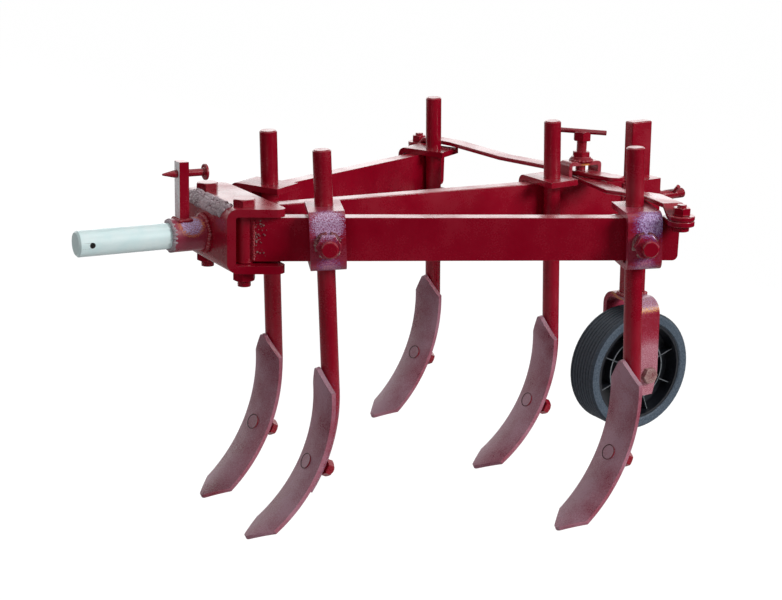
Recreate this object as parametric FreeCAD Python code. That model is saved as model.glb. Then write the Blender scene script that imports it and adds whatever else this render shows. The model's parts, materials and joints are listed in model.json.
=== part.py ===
import FreeCAD, Part
import math
import os

# Five-tine adjustable cultivator for a two-wheel tractor, with a gauge wheel.
# Millimetres.  +X points forward to the hitch, +Y to the left, +Z up.
# The origin is the centre of the cross hole in the hitch shank.

V = FreeCAD.Vector
FORWARD = V(1, 0, 0)
LEFT = V(0, 1, 0)
UP = V(0, 0, 1)

# ---- fits and fasteners in general ----------------------------------------
running_play = 0.05          # radial, a pin in its hole
tiny = 0.01                  # for telling edges and faces apart
bevel_slope = 1.73           # 30 degree bevel on bolt heads and nuts
bevel_crown = 0.96           # flat top of a head, as a share of its flats

# ---- hitch ----------------------------------------------------------------
shank_dia = 28.0
shank_hole_dia = 6.0
shank_nose = 14.0            # cross hole to the front end of the shank
shank_chamfer = 2.0
shank_reach = 128.5          # cross hole to the front face of the head
spigot_dia = 26.0            # shank turned down where it sits in the tube
tube_dia = 36.0
tube_length = 39.5
latch_post_width = 14.5      # across the machine
latch_post_depth = 11.0      # along the machine
latch_post_height = 61.0     # above the tube
latch_post_setback = 14.3    # front of the tube to the middle of the post
latch_pin_dia = 8.0
latch_pin_drop = 13.0        # top of the post to the pin
latch_nose_length = 13.0     # conical nose
latch_nose_reach = 16.5      # tip of the nose ahead of the post
latch_nose_tip_dia = 2.0
latch_tail = 19.5            # pin behind the post, up to its disc
latch_disc_dia = 17.5
latch_disc_width = 3.0

# ---- head -----------------------------------------------------------------
head_plate = 8.5
head_gap = 52.0              # between the two flanges
head_bend = 11.0             # outer bend radius of the channel
head_depth = 60.0            # front face to the rear edges of the flanges
head_front_width = 122.0
head_flare = 24.0            # degrees, flange ends from the centre line
head_corner = 10.0
pivot_spread = 99.4          # between the two pivot bolts
pivot_setback = 24.5         # front face of the head to the pivots
pivot_bolt_dia = 14.0
pivot_bolt_flats = 22.0
pivot_bolt_head = 8.0
pivot_nut = 11.0
pivot_tail = 6.5             # thread below the nut

# ---- beams ----------------------------------------------------------------
beam_depth = 47.0
beam_width = 18.0
beam_corner = 6.0
beam_rise = 2.5              # beam middle above the shank
bush_dia = 22.0
bush_end_play = 0.3
arm_tail = 6.0               # arm past its strap bolt
left_angle = 22.4            # degrees from the centre line
right_angle = 25.9
socket_station = 532.0       # pivots to the front of the wheel socket

# ---- tine clamps ----------------------------------------------------------
post_dia = 20.0
post_top = 72.5              # above the beams
front_station = 86.5         # along a side arm from its pivot
rear_station = 427.0
centre_station = 415.5       # behind the pivots
clamp_plate = 7.0
clamp_width = 38.0
clamp_play = 1.2             # over and under the beam
clamp_room = 8.0             # beam to the closed side of the clamp
clamp_bend = 10.0
clamp_margin = 16.4          # plate beyond the post hole
post_play = 0.25             # radial, post in its clamp
post_chamfer = 1.5
tine_lean = 3.0              # degrees, each clamp rocked rearwards along its beam
set_screw_dia = 12.0
set_screw_drop = 3.0         # below the middle of the beam
set_screw_flats = 19.0
set_screw_head = 8.0
set_screw_neck = 5.0         # thread between nut and head
set_screw_play = 0.1         # tip to beam
set_nut_flats = 24.0
set_nut = 10.0

# ---- tines ----------------------------------------------------------------
bend_drop = 195.4            # beam tops to where the leg begins to curve
share_radius = 159.5         # concave front face, along its middle line
share_plate = 5.0
share_width = 46.0
share_crown = 4.7            # edges swept back from the middle line
share_up = 10.5              # degrees of arc above the start of the bend
share_down = 66.8            # degrees of arc below it
share_point = 27.0           # length of each pointed end
share_tip_radius = 5.0
share_bolt_dia = 10.0
share_bolt_angle = 28.3      # degrees below the start of the bend
share_bolt_head_dia = 18.0
share_bolt_sink = 3.0
share_bolt_proud = 0.6
share_bolt_flats = 17.0
share_nut = 8.0
share_bolt_tail = 3.0
leg_end_angle = 38.0         # degrees below the start of the bend

# ---- spread straps --------------------------------------------------------
strap_thick = 5.0
strap_width = 24.0
strap_head_dia = 29.0
strap_lift = 0.4             # between a strap and what it crosses
strap_foot = 10.0            # level stretch at the arm
strap_rise = 10.0            # length of the ramp that clears the tine clamp
strap_crest = 9.0            # height of the ramp
strap_span = 50.0            # raised stretch
strap_fall = 90.0            # ramp down to the bridge
strap_overrun = 64.0         # strap past the bridge
strap_bolt_dia = 10.0
strap_bolt_flats = 17.0
strap_bolt_head = 6.0
strap_nut = 8.0
strap_bolt_tail = 3.0
strap_bolt_gap = 36.0        # rear tine to the strap bolt, along the arm
strap_bolt_offset = 29.0     # outwards from the middle of the arm
lug_thick = 6.0
lug_rise = 2.3               # top of the lug above the arm
bridge_station = 469.0       # behind the pivots
bridge_length = 48.0
bridge_width = 20.0
bridge_plate = 5.0
bridge_gap = 17.5            # under its roof
bridge_boss_dia = 24.0
bridge_boss = 5.0
bridge_nut = 6.5
bridge_screw_dia = 12.0
bridge_screw_rise = 13.0     # bare thread between nut and head
bridge_screw_flats = 19.0
bridge_screw_head = 11.0
bridge_rod_dia = 6.0
bridge_rod_length = 58.0
bridge_rod_heading = 132.0   # degrees from straight ahead

# ---- gauge wheel ----------------------------------------------------------
stand_lean = 2.0             # degrees, foot of the wheel stand rearwards
wheel_bar_along = 30.0
wheel_bar_across = 16.0
wheel_bar_top = 66.0         # above the beams
socket_wall = 10.0
socket_corner = 3.0
socket_height = 46.0
socket_drop = 5.5            # beam tops to the top of the socket
socket_play = 0.3
socket_screw_dia = 12.0
socket_screw_drop = 9.0      # below the middle of the beam
socket_screw_reach = 38.0    # screw behind the socket
socket_nut_flats = 19.0
socket_nut = 10.0
tommy_dia = 5.5
tommy_length = 34.0
tommy_tilt = 44.0            # degrees from level
axle_drop = 254.0            # beam tops to the axle
axle_dia = 12.0
axle_play = 0.05
axle_head_flats = 19.0
axle_head = 7.0
wheel_width = 48.0
wheel_shoulder = 5.0
hub_rim_dia = 128.0
tyre_depth = 14.0            # hub rim to the tread
hub_wall = 5.0
hub_boss_dia = 30.0
hub_web = 6.0
hub_ribs = 6
hub_rib = 4.0
hub_rib_width = 38.0         # across the wheel
hub_side_play = 1.0
fork_plate = 7.0
fork_width = 30.0
fork_gap = 64.0              # between the fork legs
fork_room = 13.0             # tread to the underside of the fork
fork_shoulder = 20.0
fork_tail = 27.0             # leg below the axle
fork_taper = 16.0            # width of the leg at its lower end

# ---- levels and places that follow from the sizes above -------------------
beam_top = beam_rise + beam_depth / 2
head_face_x = -shank_reach
pivot_x = head_face_x - pivot_setback
flange_top = beam_rise + head_gap / 2 + head_plate
flange_bottom = beam_rise - head_gap / 2 - head_plate
post_offset = (beam_width + post_dia) / 2
leg_radius = share_radius + share_plate + post_dia / 2
bend_level = beam_depth / 2 - bend_drop
post_level = beam_depth / 2 + post_top
strap_bolt_station = rear_station + strap_bolt_gap
arm_length = strap_bolt_station + arm_tail
lug_top = beam_top + lug_rise
low_strap_z = beam_top + strap_lift
high_strap_z = low_strap_z + strap_thick + strap_lift
bridge_top = beam_top + bridge_gap + bridge_plate
socket_front_x = pivot_x - socket_station
wheel_x = socket_front_x - socket_wall - socket_play - wheel_bar_along / 2
axle_z = beam_top - axle_drop
wheel_dia = hub_rim_dia + 2 * tyre_depth
fork_top_z = axle_z + wheel_dia / 2 + fork_room + fork_plate


def hexagon(flats, height):
    """Hexagonal prism standing on the origin, with bevelled upper corners."""
    corner = flats / math.sqrt(3)
    points = [V(corner * math.cos(math.radians(60 * i)), corner * math.sin(math.radians(60 * i)), 0)
              for i in range(7)]
    prism = Part.Face(Part.makePolygon(points)).extrude(UP * height)
    crown = flats / 2 * bevel_crown
    dome = Part.makeCone(crown + height * bevel_slope, crown, height)
    return prism.common(dome)


def cylinder(dia, height, base, axis):
    return Part.makeCylinder(dia / 2, height, base, axis)


def aim(shape, base, axis):
    """Turn a shape that stands along +Z so that it stands along the axis from the base."""
    placed = shape.copy()
    placed.Placement = FreeCAD.Placement(base, FreeCAD.Rotation(UP, axis)).multiply(placed.Placement)
    return placed


def upright_edges(shape, spots):
    """Vertical edges of a shape that stand over the given plan points."""
    found = []
    for edge in shape.Edges:
        if edge.BoundBox.XLength > tiny or edge.BoundBox.YLength > tiny:
            continue
        middle = edge.BoundBox.Center
        if any(math.hypot(middle.x - x, middle.y - y) < 0.5 for x, y in spots):
            found.append(edge)
    return found


def plan_plate(points, bottom, height):
    """Plate with a polygon plan."""
    loop = [V(x, y, bottom) for x, y in points]
    return Part.Face(Part.makePolygon(loop + loop[:1])).extrude(UP * height)


def bar_plan(half, reach, end_radius, bottom, height):
    """Flat strap from the origin along +X with both ends rounded."""
    body = Part.makeBox(reach, 2 * half, height, V(0, -half, bottom))
    eye = Part.makeCylinder(end_radius, height, V(0, 0, bottom))
    nose = Part.makeCylinder(half, height, V(reach, 0, bottom))
    return body.fuse([eye, nose]).removeSplitter()


# ---- beam frames: local +X runs rearwards along the beam from the pivot ----
def beam_frame(pivot_y, heading):
    return FreeCAD.Placement(V(pivot_x, pivot_y, beam_rise), FreeCAD.Rotation(UP, heading))


left_heading = 180 - left_angle
right_heading = 180 + right_angle
centre_heading = 180
left_frame = beam_frame(pivot_spread / 2, left_heading)
right_frame = beam_frame(-pivot_spread / 2, right_heading)
centre_frame = beam_frame(0, centre_heading)

# name, beam frame, its heading, distance along it, side of the post (+1 is local +Y),
# heading of the tine in degrees, height of the tine over the common setting
stations = [
    ("left_front", left_frame, left_heading, front_station, 1, -0.3, -4.5),
    ("left_rear", left_frame, left_heading, rear_station, 1, 4.8, 0.3),
    ("right_front", right_frame, right_heading, front_station, -1, 11.5, -3.0),
    ("right_rear", right_frame, right_heading, rear_station, -1, 12.0, 3.0),
    ("centre", centre_frame, centre_heading, centre_station, -1, -1.4, 4.2),
]


def placed(shape, frame):
    copy = shape.copy()
    copy.Placement = frame.multiply(copy.Placement)
    return copy


# ---- hitch ------------------------------------------------------------------
def hitch_shank():
    shoulder = tube_length - shank_reach
    bar = cylinder(shank_dia, shank_nose - shoulder, V(shoulder, 0, 0), FORWARD)
    nose = [e for e in bar.Edges if e.BoundBox.XMin > shank_nose - tiny]
    bar = bar.makeChamfer(shank_chamfer, nose)
    bar = bar.fuse(cylinder(spigot_dia, tube_length, V(-shank_reach, 0, 0), FORWARD))
    hole = cylinder(shank_hole_dia, 2 * shank_dia, V(0, -shank_dia, 0), LEFT)
    return bar.cut(hole)


def hitch_tube():
    start = V(head_face_x, 0, 0)
    outer = cylinder(tube_dia, tube_length, start, FORWARD)
    return outer.cut(cylinder(spigot_dia + 2 * running_play, tube_length, start, FORWARD))


def latch_places():
    post_x = head_face_x + tube_length - latch_post_setback
    pin_z = tube_dia / 2 + latch_post_height - latch_pin_drop
    return post_x, pin_z


def latch_post():
    post_x, pin_z = latch_places()
    post = Part.makeBox(latch_post_depth, latch_post_width, tube_dia / 2 + latch_post_height,
                        V(post_x - latch_post_depth / 2, -latch_post_width / 2, 0))
    post = post.cut(cylinder(tube_dia, 4 * latch_post_depth, V(post_x - 2 * latch_post_depth, 0, 0), FORWARD))
    hole = cylinder(latch_pin_dia, 4 * latch_post_depth, V(post_x - 2 * latch_post_depth, 0, pin_z), FORWARD)
    return post.cut(hole)


def latch_pin():
    post_x, pin_z = latch_places()
    front = post_x + latch_post_depth / 2 + latch_nose_reach - latch_nose_length
    rear = post_x - latch_post_depth / 2 - latch_tail
    pin = cylinder(latch_pin_dia, front - rear, V(rear, 0, pin_z), FORWARD)
    nose = Part.makeCone(latch_pin_dia / 2, latch_nose_tip_dia / 2, latch_nose_length,
                         V(front, 0, pin_z), FORWARD)
    disc = cylinder(latch_disc_dia, latch_disc_width, V(rear - latch_disc_width, 0, pin_z), FORWARD)
    return pin.fuse([nose, disc]).removeSplitter()


# ---- head -------------------------------------------------------------------
def head_channel():
    width = 2 * head_front_width
    height = flange_top - flange_bottom
    block = Part.makeBox(head_depth, width, height, V(head_face_x - head_depth, -width / 2, flange_bottom))
    front_edges = [e for e in block.Edges if e.BoundBox.XMin > head_face_x - tiny
                   and e.BoundBox.ZLength < tiny]
    block = block.makeFillet(head_bend, front_edges)
    hollow = Part.makeBox(head_depth, width, head_gap,
                          V(head_face_x - head_plate - head_depth, -width / 2, flange_bottom + head_plate))
    inner_edges = [e for e in hollow.Edges if e.BoundBox.XMin > head_face_x - head_plate - tiny
                   and e.BoundBox.ZLength < tiny]
    hollow = hollow.makeFillet(head_bend - head_plate, inner_edges)
    channel = block.cut(hollow)
    spread = head_depth * math.tan(math.radians(head_flare))
    front = head_front_width / 2
    rear_x = head_face_x - head_depth
    outline = [(head_face_x, -front), (rear_x, -front - spread),
               (rear_x, front + spread), (head_face_x, front)]
    plan = plan_plate(outline, flange_bottom, height)
    corners = upright_edges(plan, [(rear_x, -front - spread), (rear_x, front + spread)])
    channel = channel.common(plan.makeFillet(head_corner, corners))
    for side in (-1, 1):
        foot = V(pivot_x, side * pivot_spread / 2, flange_bottom)
        channel = channel.cut(cylinder(pivot_bolt_dia + 2 * running_play, height, foot, UP))
    return channel


def pivot_bolt(side):
    length = flange_top - flange_bottom + pivot_nut + pivot_tail
    head = aim(hexagon(pivot_bolt_flats, pivot_bolt_head), V(0, 0, 0), UP)
    shank = cylinder(pivot_bolt_dia, length, V(0, 0, -length), UP)
    bolt = head.fuse(shank)
    bolt.translate(V(pivot_x, side * pivot_spread / 2, flange_top))
    return bolt


def pivot_nut_ring(side):
    nut = hexagon(pivot_bolt_flats, pivot_nut)
    nut = nut.cut(cylinder(pivot_bolt_dia + 2 * running_play, pivot_nut, V(0, 0, 0), UP))
    return aim(nut, V(pivot_x, side * pivot_spread / 2, flange_bottom), UP * -1)


# ---- beams --------------------------------------------------------------------
def side_arm():
    bar = Part.makeBox(arm_length, beam_width, beam_depth, V(0, -beam_width / 2, -beam_depth / 2))
    bar = bar.makeFillet(beam_corner, [e for e in bar.Edges if e.BoundBox.XMin > arm_length - tiny
                                       and e.BoundBox.ZLength < tiny])
    return bar.cut(cylinder(bush_dia, 2 * beam_depth, V(0, 0, -beam_depth), UP))


def arm_bush():
    height = head_gap - 2 * bush_end_play
    bush = cylinder(bush_dia, height, V(0, 0, -height / 2), UP)
    return bush.cut(cylinder(pivot_bolt_dia + 2 * running_play, height, V(0, 0, -height / 2), UP))


def stand_leaned(shape):
    """Lean a piece of the wheel stand about the middle of the socket's front face."""
    foot = V(socket_front_x, 0, beam_rise)
    leaned = shape.copy()
    leaned.rotate(foot, LEFT, stand_lean)
    return leaned


def centre_beam():
    """Runs from the head's web to the leaning face of the wheel socket."""
    end_x = socket_front_x - beam_width
    bar = Part.makeBox(head_face_x - head_plate - end_x, beam_width, beam_depth,
                       V(end_x, -beam_width / 2, beam_rise - beam_depth / 2))
    behind = Part.makeBox(2 * beam_width, 2 * beam_width, 2 * beam_depth,
                          V(socket_front_x - 2 * beam_width, -beam_width, beam_rise - beam_depth))
    return bar.cut(stand_leaned(behind))


# ---- clamps and tines -----------------------------------------------------------
def clamp(side):
    """Strap bent round the beam, with its post on local +Y for side +1."""
    closed = beam_width / 2 + clamp_room
    open_end = post_offset + post_dia / 2 + clamp_margin
    depth = closed + clamp_plate + open_end
    inner = beam_depth + 2 * clamp_play
    outer = inner + 2 * clamp_plate
    block = Part.makeBox(clamp_width, depth, outer, V(-clamp_width / 2, -closed - clamp_plate, -outer / 2))
    back_edges = [e for e in block.Edges if e.BoundBox.YMax < tiny - closed - clamp_plate
                  and e.BoundBox.ZLength < tiny]
    block = block.makeFillet(clamp_bend, back_edges)
    hollow = Part.makeBox(clamp_width, depth, inner, V(-clamp_width / 2, -closed, -inner / 2))
    inner_edges = [e for e in hollow.Edges if e.BoundBox.YMax < tiny - closed and e.BoundBox.ZLength < tiny]
    hollow = hollow.makeFillet(clamp_bend - clamp_plate, inner_edges)
    strap = block.cut(hollow)
    strap = strap.cut(cylinder(post_dia + 2 * post_play, outer, V(0, post_offset, -outer / 2), UP))
    nut = aim(hexagon(set_nut_flats, set_nut), V(0, -closed - clamp_plate, -set_screw_drop), LEFT * -1)
    strap = strap.fuse(nut)
    bore = cylinder(set_screw_dia, set_nut + clamp_plate, V(0, -closed, -set_screw_drop), LEFT * -1)
    return sided(strap.cut(bore), side)


def set_screw(side):
    """Screw whose tip bears on the beam."""
    tip = -beam_width / 2 - set_screw_play
    seat = -beam_width / 2 - clamp_room - clamp_plate - set_nut - set_screw_neck
    shaft = cylinder(set_screw_dia, tip - seat, V(0, tip, -set_screw_drop), LEFT * -1)
    head = aim(hexagon(set_screw_flats, set_screw_head), V(0, seat, -set_screw_drop), LEFT * -1)
    return sided(shaft.fuse(head), side)


def sided(shape, side):
    """Mirror to the post's side."""
    return shape if side > 0 else shape.mirror(V(0, 0, 0), LEFT)


# A tine is drawn with its post on the vertical axis, its share ahead, and height 0 at the beam's middle.
def leg_point(angle, radius):
    """Point at an angle below the start of the bend, in the tine's own side plane."""
    a = math.radians(angle)
    return V(leg_radius - radius * math.cos(a), 0, bend_level - radius * math.sin(a))


def radial(angle):
    a = math.radians(angle)
    return V(-math.cos(a), 0, -math.sin(a))


def tine_leg():
    top = V(0, 0, post_level)
    start = leg_point(0, leg_radius)
    post = Part.Wire([Part.makeLine(top, start),
                      Part.Arc(start, leg_point(leg_end_angle / 2, leg_radius),
                               leg_point(leg_end_angle, leg_radius)).toShape()])
    section = Part.Wire(Part.makeCircle(post_dia / 2, top, UP))
    leg = post.makePipeShell([section], True, False)
    rim = [e for e in leg.Edges if e.BoundBox.ZMin > post_level - tiny]
    leg = leg.makeChamfer(post_chamfer, rim)
    hole = cylinder(share_bolt_dia, 2 * post_dia, leg_point(share_bolt_angle, leg_radius - post_dia),
                    radial(share_bolt_angle))
    return leg.cut(hole)


def share_blank():
    """Crowned curved plate: a bent section turned about a level axis ahead of the leg."""
    def section_arc(radius):
        middle = V(leg_radius - radius, 0, 0)
        edge = V(leg_radius - radius - share_crown, share_width / 2, 0)
        return Part.Arc(V(edge.x, -edge.y, 0), middle, edge).toShape(), edge
    front, front_edge = section_arc(share_radius)
    back, back_edge = section_arc(share_radius + share_plate)
    sides = [Part.makeLine(front_edge, back_edge),
             Part.makeLine(V(front_edge.x, -front_edge.y, 0), V(back_edge.x, -back_edge.y, 0))]
    profile = Part.Face(Part.Wire(Part.__sortEdges__([front, back] + sides)))
    profile.translate(V(0, 0, bend_level))
    centre = leg_point(0, 0)
    profile.rotate(centre, LEFT, share_up)
    return profile.revolve(centre, LEFT * -1, share_up + share_down)


def point_prism(angle, onward):
    """Prism whose plan is the pointed end; onward is the arc's direction towards the point."""
    half_angle = math.atan2(share_width / 2, share_point)
    tip = share_tip_radius * (1 / math.sin(half_angle) - 1)
    long = 2 * share_radius
    wide = share_width
    slope = (share_width / 2) / (share_point + tip)
    back = wide / slope
    outline = [(tip, 0), (tip - back, -wide), (-long, -wide), (-long, wide), (tip - back, wide)]
    prism = plan_plate(outline, -long, 2 * long)
    prism = prism.makeFillet(share_tip_radius, upright_edges(prism, [(tip, 0)]))
    base = leg_point(angle, share_radius)
    turn = FreeCAD.Rotation(onward, radial(angle).cross(onward), radial(angle), "XZY")
    frame = FreeCAD.Placement(base, turn)
    prism.Placement = frame.multiply(prism.Placement)
    return prism


def tine_share():
    blank = share_blank()
    low = math.radians(share_down)
    high = math.radians(share_up)
    down = V(math.sin(low), 0, -math.cos(low))
    up = V(math.sin(high), 0, math.cos(high))
    share = blank.common(point_prism(share_down, down)).common(point_prism(-share_up, up))
    head = cylinder(share_bolt_head_dia + 2 * running_play, share_bolt_sink + share_plate,
                    leg_point(share_bolt_angle, share_radius - share_plate), radial(share_bolt_angle))
    shank = cylinder(share_bolt_dia, 4 * share_plate, leg_point(share_bolt_angle, share_radius - share_plate),
                     radial(share_bolt_angle))
    return share.cut(head).cut(shank)


def share_bolt():
    axis = radial(share_bolt_angle)
    face = share_radius - share_bolt_proud
    seat = share_radius + share_bolt_sink
    back = share_radius + share_plate + post_dia
    head = cylinder(share_bolt_head_dia, seat - face, leg_point(share_bolt_angle, face), axis)
    reach = back + share_nut + share_bolt_tail - face
    shank = cylinder(share_bolt_dia, reach, leg_point(share_bolt_angle, face), axis)
    nut = aim(hexagon(share_bolt_flats, share_nut), leg_point(share_bolt_angle, back), axis)
    return head.fuse([shank, nut]).removeSplitter()


# ---- spread straps -----------------------------------------------------------------
def lug(side):
    """Flat lug welded to the outer face of an arm."""
    half = strap_head_dia / 2
    bottom = lug_top - lug_thick - beam_rise
    plate = Part.makeBox(2 * half, strap_bolt_offset - beam_width / 2, lug_thick,
                         V(strap_bolt_station - half, beam_width / 2, bottom))
    eye = cylinder(strap_head_dia, lug_thick, V(strap_bolt_station, strap_bolt_offset, bottom), UP)
    shape = plate.fuse(eye).removeSplitter()
    foot = V(strap_bolt_station, strap_bolt_offset, bottom)
    shape = shape.cut(cylinder(strap_bolt_dia, lug_thick, foot, UP))
    if side > 0:
        shape = shape.mirror(V(0, 0, 0), LEFT)
    return shape


def strap_pivot(frame, side):
    pivot = frame.multVec(V(strap_bolt_station, -side * strap_bolt_offset, 0))
    return V(pivot.x, pivot.y, 0)


def bridge_point():
    return V(pivot_x - bridge_station, 0, 0)


def strap(frame, side, level):
    """Flat bar from the lug up over the tine clamp and down to the bridge."""
    pivot = strap_pivot(frame, side)
    aim_at = bridge_point() - pivot
    reach = aim_at.Length + strap_overrun - strap_width / 2
    foot_z = lug_top + strap_lift
    rise_end = strap_foot + strap_rise
    span_end = rise_end + strap_span
    run = [(-strap_head_dia, foot_z), (strap_foot, foot_z), (rise_end, foot_z + strap_crest),
           (span_end, foot_z + strap_crest), (span_end + strap_fall, level), (reach + strap_width, level)]
    lower = [V(x, -strap_head_dia, z) for x, z in run]
    upper = [point + UP * strap_thick for point in reversed(lower)]
    sheet = Part.Face(Part.makePolygon(lower + upper + lower[:1])).extrude(LEFT * (2 * strap_head_dia))
    plan = bar_plan(strap_width / 2, reach, strap_head_dia / 2, beam_top - strap_thick, 8 * strap_thick)
    bar = sheet.common(plan)
    bar = bar.cut(cylinder(strap_bolt_dia + 2 * running_play, 4 * strap_thick, V(0, 0, beam_top), UP))
    bar.rotate(V(0, 0, 0), UP, math.degrees(math.atan2(aim_at.y, aim_at.x)))
    bar.translate(pivot)
    return bar


def strap_bolt(frame, side):
    low = lug_top - lug_thick
    high = lug_top + 2 * strap_lift + strap_thick
    shank = cylinder(strap_bolt_dia, high - low + strap_nut + strap_bolt_tail, V(0, 0, low), UP)
    head = aim(hexagon(strap_bolt_flats, strap_bolt_head), V(0, 0, low), UP * -1)
    nut = aim(hexagon(strap_bolt_flats, strap_nut), V(0, 0, high), UP)
    bolt = shank.fuse([head, nut]).removeSplitter()
    bolt.translate(strap_pivot(frame, side))
    return bolt


def strap_bridge():
    """Inverted U over both straps, welded on top of the centre beam, with the screw's boss."""
    height = bridge_top - beam_top
    middle = bridge_point()
    block = Part.makeBox(bridge_length, bridge_width, height,
                         V(middle.x - bridge_length / 2, -bridge_width / 2, beam_top))
    tops = [e for e in block.Edges if e.BoundBox.ZMin > bridge_top - tiny and e.BoundBox.XLength < tiny]
    block = block.makeFillet(bridge_plate, tops)
    room = Part.makeBox(bridge_length - 2 * bridge_plate, bridge_width, bridge_gap,
                        V(middle.x - bridge_length / 2 + bridge_plate, -bridge_width / 2, beam_top))
    block = block.cut(room)
    boss = cylinder(bridge_boss_dia, bridge_boss, V(middle.x, 0, bridge_top), UP)
    block = block.fuse(boss)
    bore = cylinder(bridge_screw_dia, 4 * height, V(middle.x, 0, beam_top), UP)
    return block.cut(bore)


def bridge_screw():
    middle = bridge_point()
    tip = high_strap_z + strap_thick + strap_lift
    nut_z = bridge_top + bridge_boss
    head_z = nut_z + bridge_nut + bridge_screw_rise
    shaft = cylinder(bridge_screw_dia, head_z - tip, V(middle.x, 0, tip), UP)
    nut = aim(hexagon(bridge_screw_flats, bridge_nut), V(middle.x, 0, nut_z), UP)
    head = aim(hexagon(bridge_screw_flats, bridge_screw_head), V(middle.x, 0, head_z), UP)
    swing = math.radians(bridge_rod_heading)
    along = V(math.cos(swing), math.sin(swing), 0)
    rod = cylinder(bridge_rod_dia, bridge_rod_length,
                   V(middle.x, 0, head_z + bridge_screw_head) - along * (bridge_rod_length / 2), along)
    return shaft.fuse([nut, head, rod]).removeSplitter()


# ---- gauge wheel ---------------------------------------------------------------------
def wheel_socket():
    hole_along = wheel_bar_along + 2 * socket_play
    hole_across = wheel_bar_across + 2 * socket_play
    along = hole_along + 2 * socket_wall
    across = hole_across + 2 * socket_wall
    bottom = beam_top - socket_drop - socket_height
    rear_x = wheel_x - along / 2
    block = Part.makeBox(along, across, socket_height, V(rear_x, -across / 2, bottom))
    corners = [e for e in block.Edges if e.BoundBox.ZLength > socket_height - tiny]
    block = block.makeFillet(socket_corner, corners)
    hole = Part.makeBox(hole_along, hole_across, socket_height,
                        V(wheel_x - hole_along / 2, -hole_across / 2, bottom))
    screw_z = beam_rise - socket_screw_drop
    nut = aim(hexagon(socket_nut_flats, socket_nut), V(rear_x, 0, screw_z), FORWARD * -1)
    bore = cylinder(socket_screw_dia, socket_wall + socket_nut,
                    V(rear_x + socket_wall, 0, screw_z), FORWARD * -1)
    return block.cut(hole).fuse(nut).cut(bore)


def socket_screw():
    start = wheel_x - wheel_bar_along / 2 - set_screw_play
    screw_z = beam_rise - socket_screw_drop
    reach = socket_play + socket_wall + socket_screw_reach
    shaft = cylinder(socket_screw_dia, reach, V(start, 0, screw_z), FORWARD * -1)
    tilt = math.radians(tommy_tilt)
    across = V(0, math.cos(tilt), math.sin(tilt))
    middle = V(start - reach + tommy_dia, 0, screw_z)
    rod = cylinder(tommy_dia, tommy_length, middle - across * (tommy_length / 2), across)
    return shaft.fuse(rod).removeSplitter()


def wheel_bar():
    length = beam_top + wheel_bar_top - fork_top_z
    return Part.makeBox(wheel_bar_along, wheel_bar_across, length,
                        V(wheel_x - wheel_bar_along / 2, -wheel_bar_across / 2, fork_top_z))


def wheel_fork():
    """Flat bar bent to an inverted U, its legs tapered below the axle."""
    outer = fork_gap + 2 * fork_plate
    low = axle_z - fork_tail
    height = fork_top_z - low
    block = Part.makeBox(fork_width, outer, height, V(wheel_x - fork_width / 2, -outer / 2, low))
    block = block.makeFillet(fork_shoulder, [e for e in block.Edges if e.BoundBox.ZMin > fork_top_z - tiny
                                             and e.BoundBox.YLength < tiny])
    room = Part.makeBox(fork_width, fork_gap, height - fork_plate,
                        V(wheel_x - fork_width / 2, -fork_gap / 2, low))
    room = room.makeFillet(fork_shoulder - fork_plate, [e for e in room.Edges if e.BoundBox.YLength < tiny
                                                        and e.BoundBox.ZMin > fork_top_z - fork_plate - tiny])
    fork = block.cut(room)
    half = fork_width / 2
    small = fork_taper / 2
    side = [V(wheel_x - half, -outer, fork_top_z), V(wheel_x - half, -outer, axle_z),
            V(wheel_x - small, -outer, low), V(wheel_x + small, -outer, low),
            V(wheel_x + half, -outer, axle_z), V(wheel_x + half, -outer, fork_top_z)]
    cutter = Part.Face(Part.makePolygon(side + side[:1])).extrude(LEFT * (2 * outer))
    fork = fork.common(cutter)
    return fork.cut(cylinder(axle_dia, 2 * outer, V(wheel_x, -outer, axle_z), LEFT))


def wheel_axle():
    outer = fork_gap + 2 * fork_plate
    pin = cylinder(axle_dia, outer, V(wheel_x, -outer / 2, axle_z), LEFT)
    heads = [aim(hexagon(axle_head_flats, axle_head), V(wheel_x, side * outer / 2, axle_z), LEFT * side)
             for side in (-1, 1)]
    return pin.fuse(heads).removeSplitter()


def ring(outer_dia, inner_dia, width):
    disc = cylinder(outer_dia, width, V(wheel_x, -width / 2, axle_z), LEFT)
    return disc.cut(cylinder(inner_dia, width, V(wheel_x, -width / 2, axle_z), LEFT))


def wheel_tyre():
    tyre = cylinder(wheel_dia, wheel_width, V(wheel_x, -wheel_width / 2, axle_z), LEFT)
    rims = [e for e in tyre.Edges if e.BoundBox.YLength < tiny]
    tyre = tyre.makeFillet(wheel_shoulder, rims)
    return tyre.cut(cylinder(hub_rim_dia, wheel_width, V(wheel_x, -wheel_width / 2, axle_z), LEFT))


def wheel_hub():
    bore = axle_dia + 2 * axle_play
    boss_length = fork_gap - 2 * hub_side_play
    rim = ring(hub_rim_dia, hub_rim_dia - 2 * hub_wall, wheel_width)
    web = ring(hub_rim_dia - hub_wall, bore, hub_web)
    boss = ring(hub_boss_dia, bore, boss_length)
    ribs = []
    for i in range(hub_ribs):
        reach = (hub_rim_dia - hub_wall) / 2
        rib = Part.makeBox(hub_rib, hub_rib_width, reach,
                           V(wheel_x - hub_rib / 2, -hub_rib_width / 2, axle_z))
        rib.rotate(V(wheel_x, 0, axle_z), LEFT, 360 * i / hub_ribs)
        ribs.append(rib)
    hub = rim.fuse([web, boss] + ribs).removeSplitter()
    return hub.cut(cylinder(bore, 2 * fork_gap, V(wheel_x, -fork_gap, axle_z), LEFT))


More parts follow.
